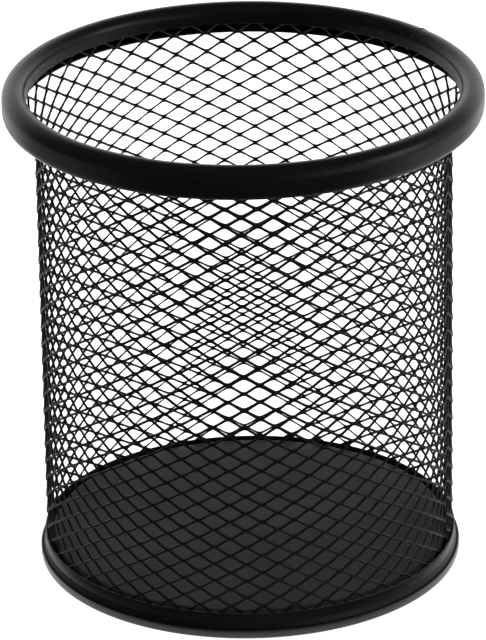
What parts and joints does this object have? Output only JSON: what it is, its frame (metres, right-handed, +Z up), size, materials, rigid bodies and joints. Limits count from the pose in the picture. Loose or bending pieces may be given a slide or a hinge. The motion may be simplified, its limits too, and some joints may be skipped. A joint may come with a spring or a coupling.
{
  "type": "pen cup",
  "caption": "Round desk pen cup with an expanded steel mesh wall, a rolled rim tube and a drawn floor plate.",
  "frame": {"origin": "centre of the round foot, on the surface that the cup stands on", "axes": "+Z up along the cup's axis, -Y towards the front, +X to the right as seen from the front"},
  "size_m": [0.0908, 0.0908, 0.097],
  "materials": {
    "coated_rim": "satin black powder coat",
    "coated_mesh": "satin black powder coat",
    "coated_foot": "satin black powder coat"
  },
  "bodies": {
    "root": {"rim_tube": "coated_rim", "rim_joint_weld": "coated_rim", "mesh_wall": "coated_mesh", "seam_spot_welds": "coated_mesh", "foot_band": "coated_foot", "floor_plate": "coated_foot"}
  },
  "joints": []
}
